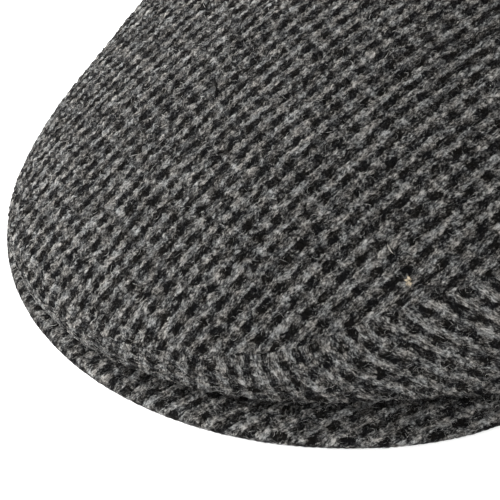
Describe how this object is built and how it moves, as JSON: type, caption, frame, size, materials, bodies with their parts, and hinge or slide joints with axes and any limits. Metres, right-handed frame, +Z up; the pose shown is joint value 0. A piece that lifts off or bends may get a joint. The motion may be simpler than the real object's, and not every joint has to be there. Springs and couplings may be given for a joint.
{
  "type": "flat cap",
  "caption": "Flat cap in black and white dogtooth tweed, with a domed top panel, side panels and a stiff covered peak.",
  "frame": {"origin": "middle of the cap's plan, on the surface that it rests on", "axes": "+Z up, -Y towards the peak, +X towards the wearer's left"},
  "size_m": [0.1922, 0.261, 0.088],
  "materials": {
    "tweed": "matte"
  },
  "bodies": {
    "root": {"crown_top": "tweed", "side_left": "tweed", "side_right": "tweed", "peak": "tweed"}
  },
  "joints": []
}
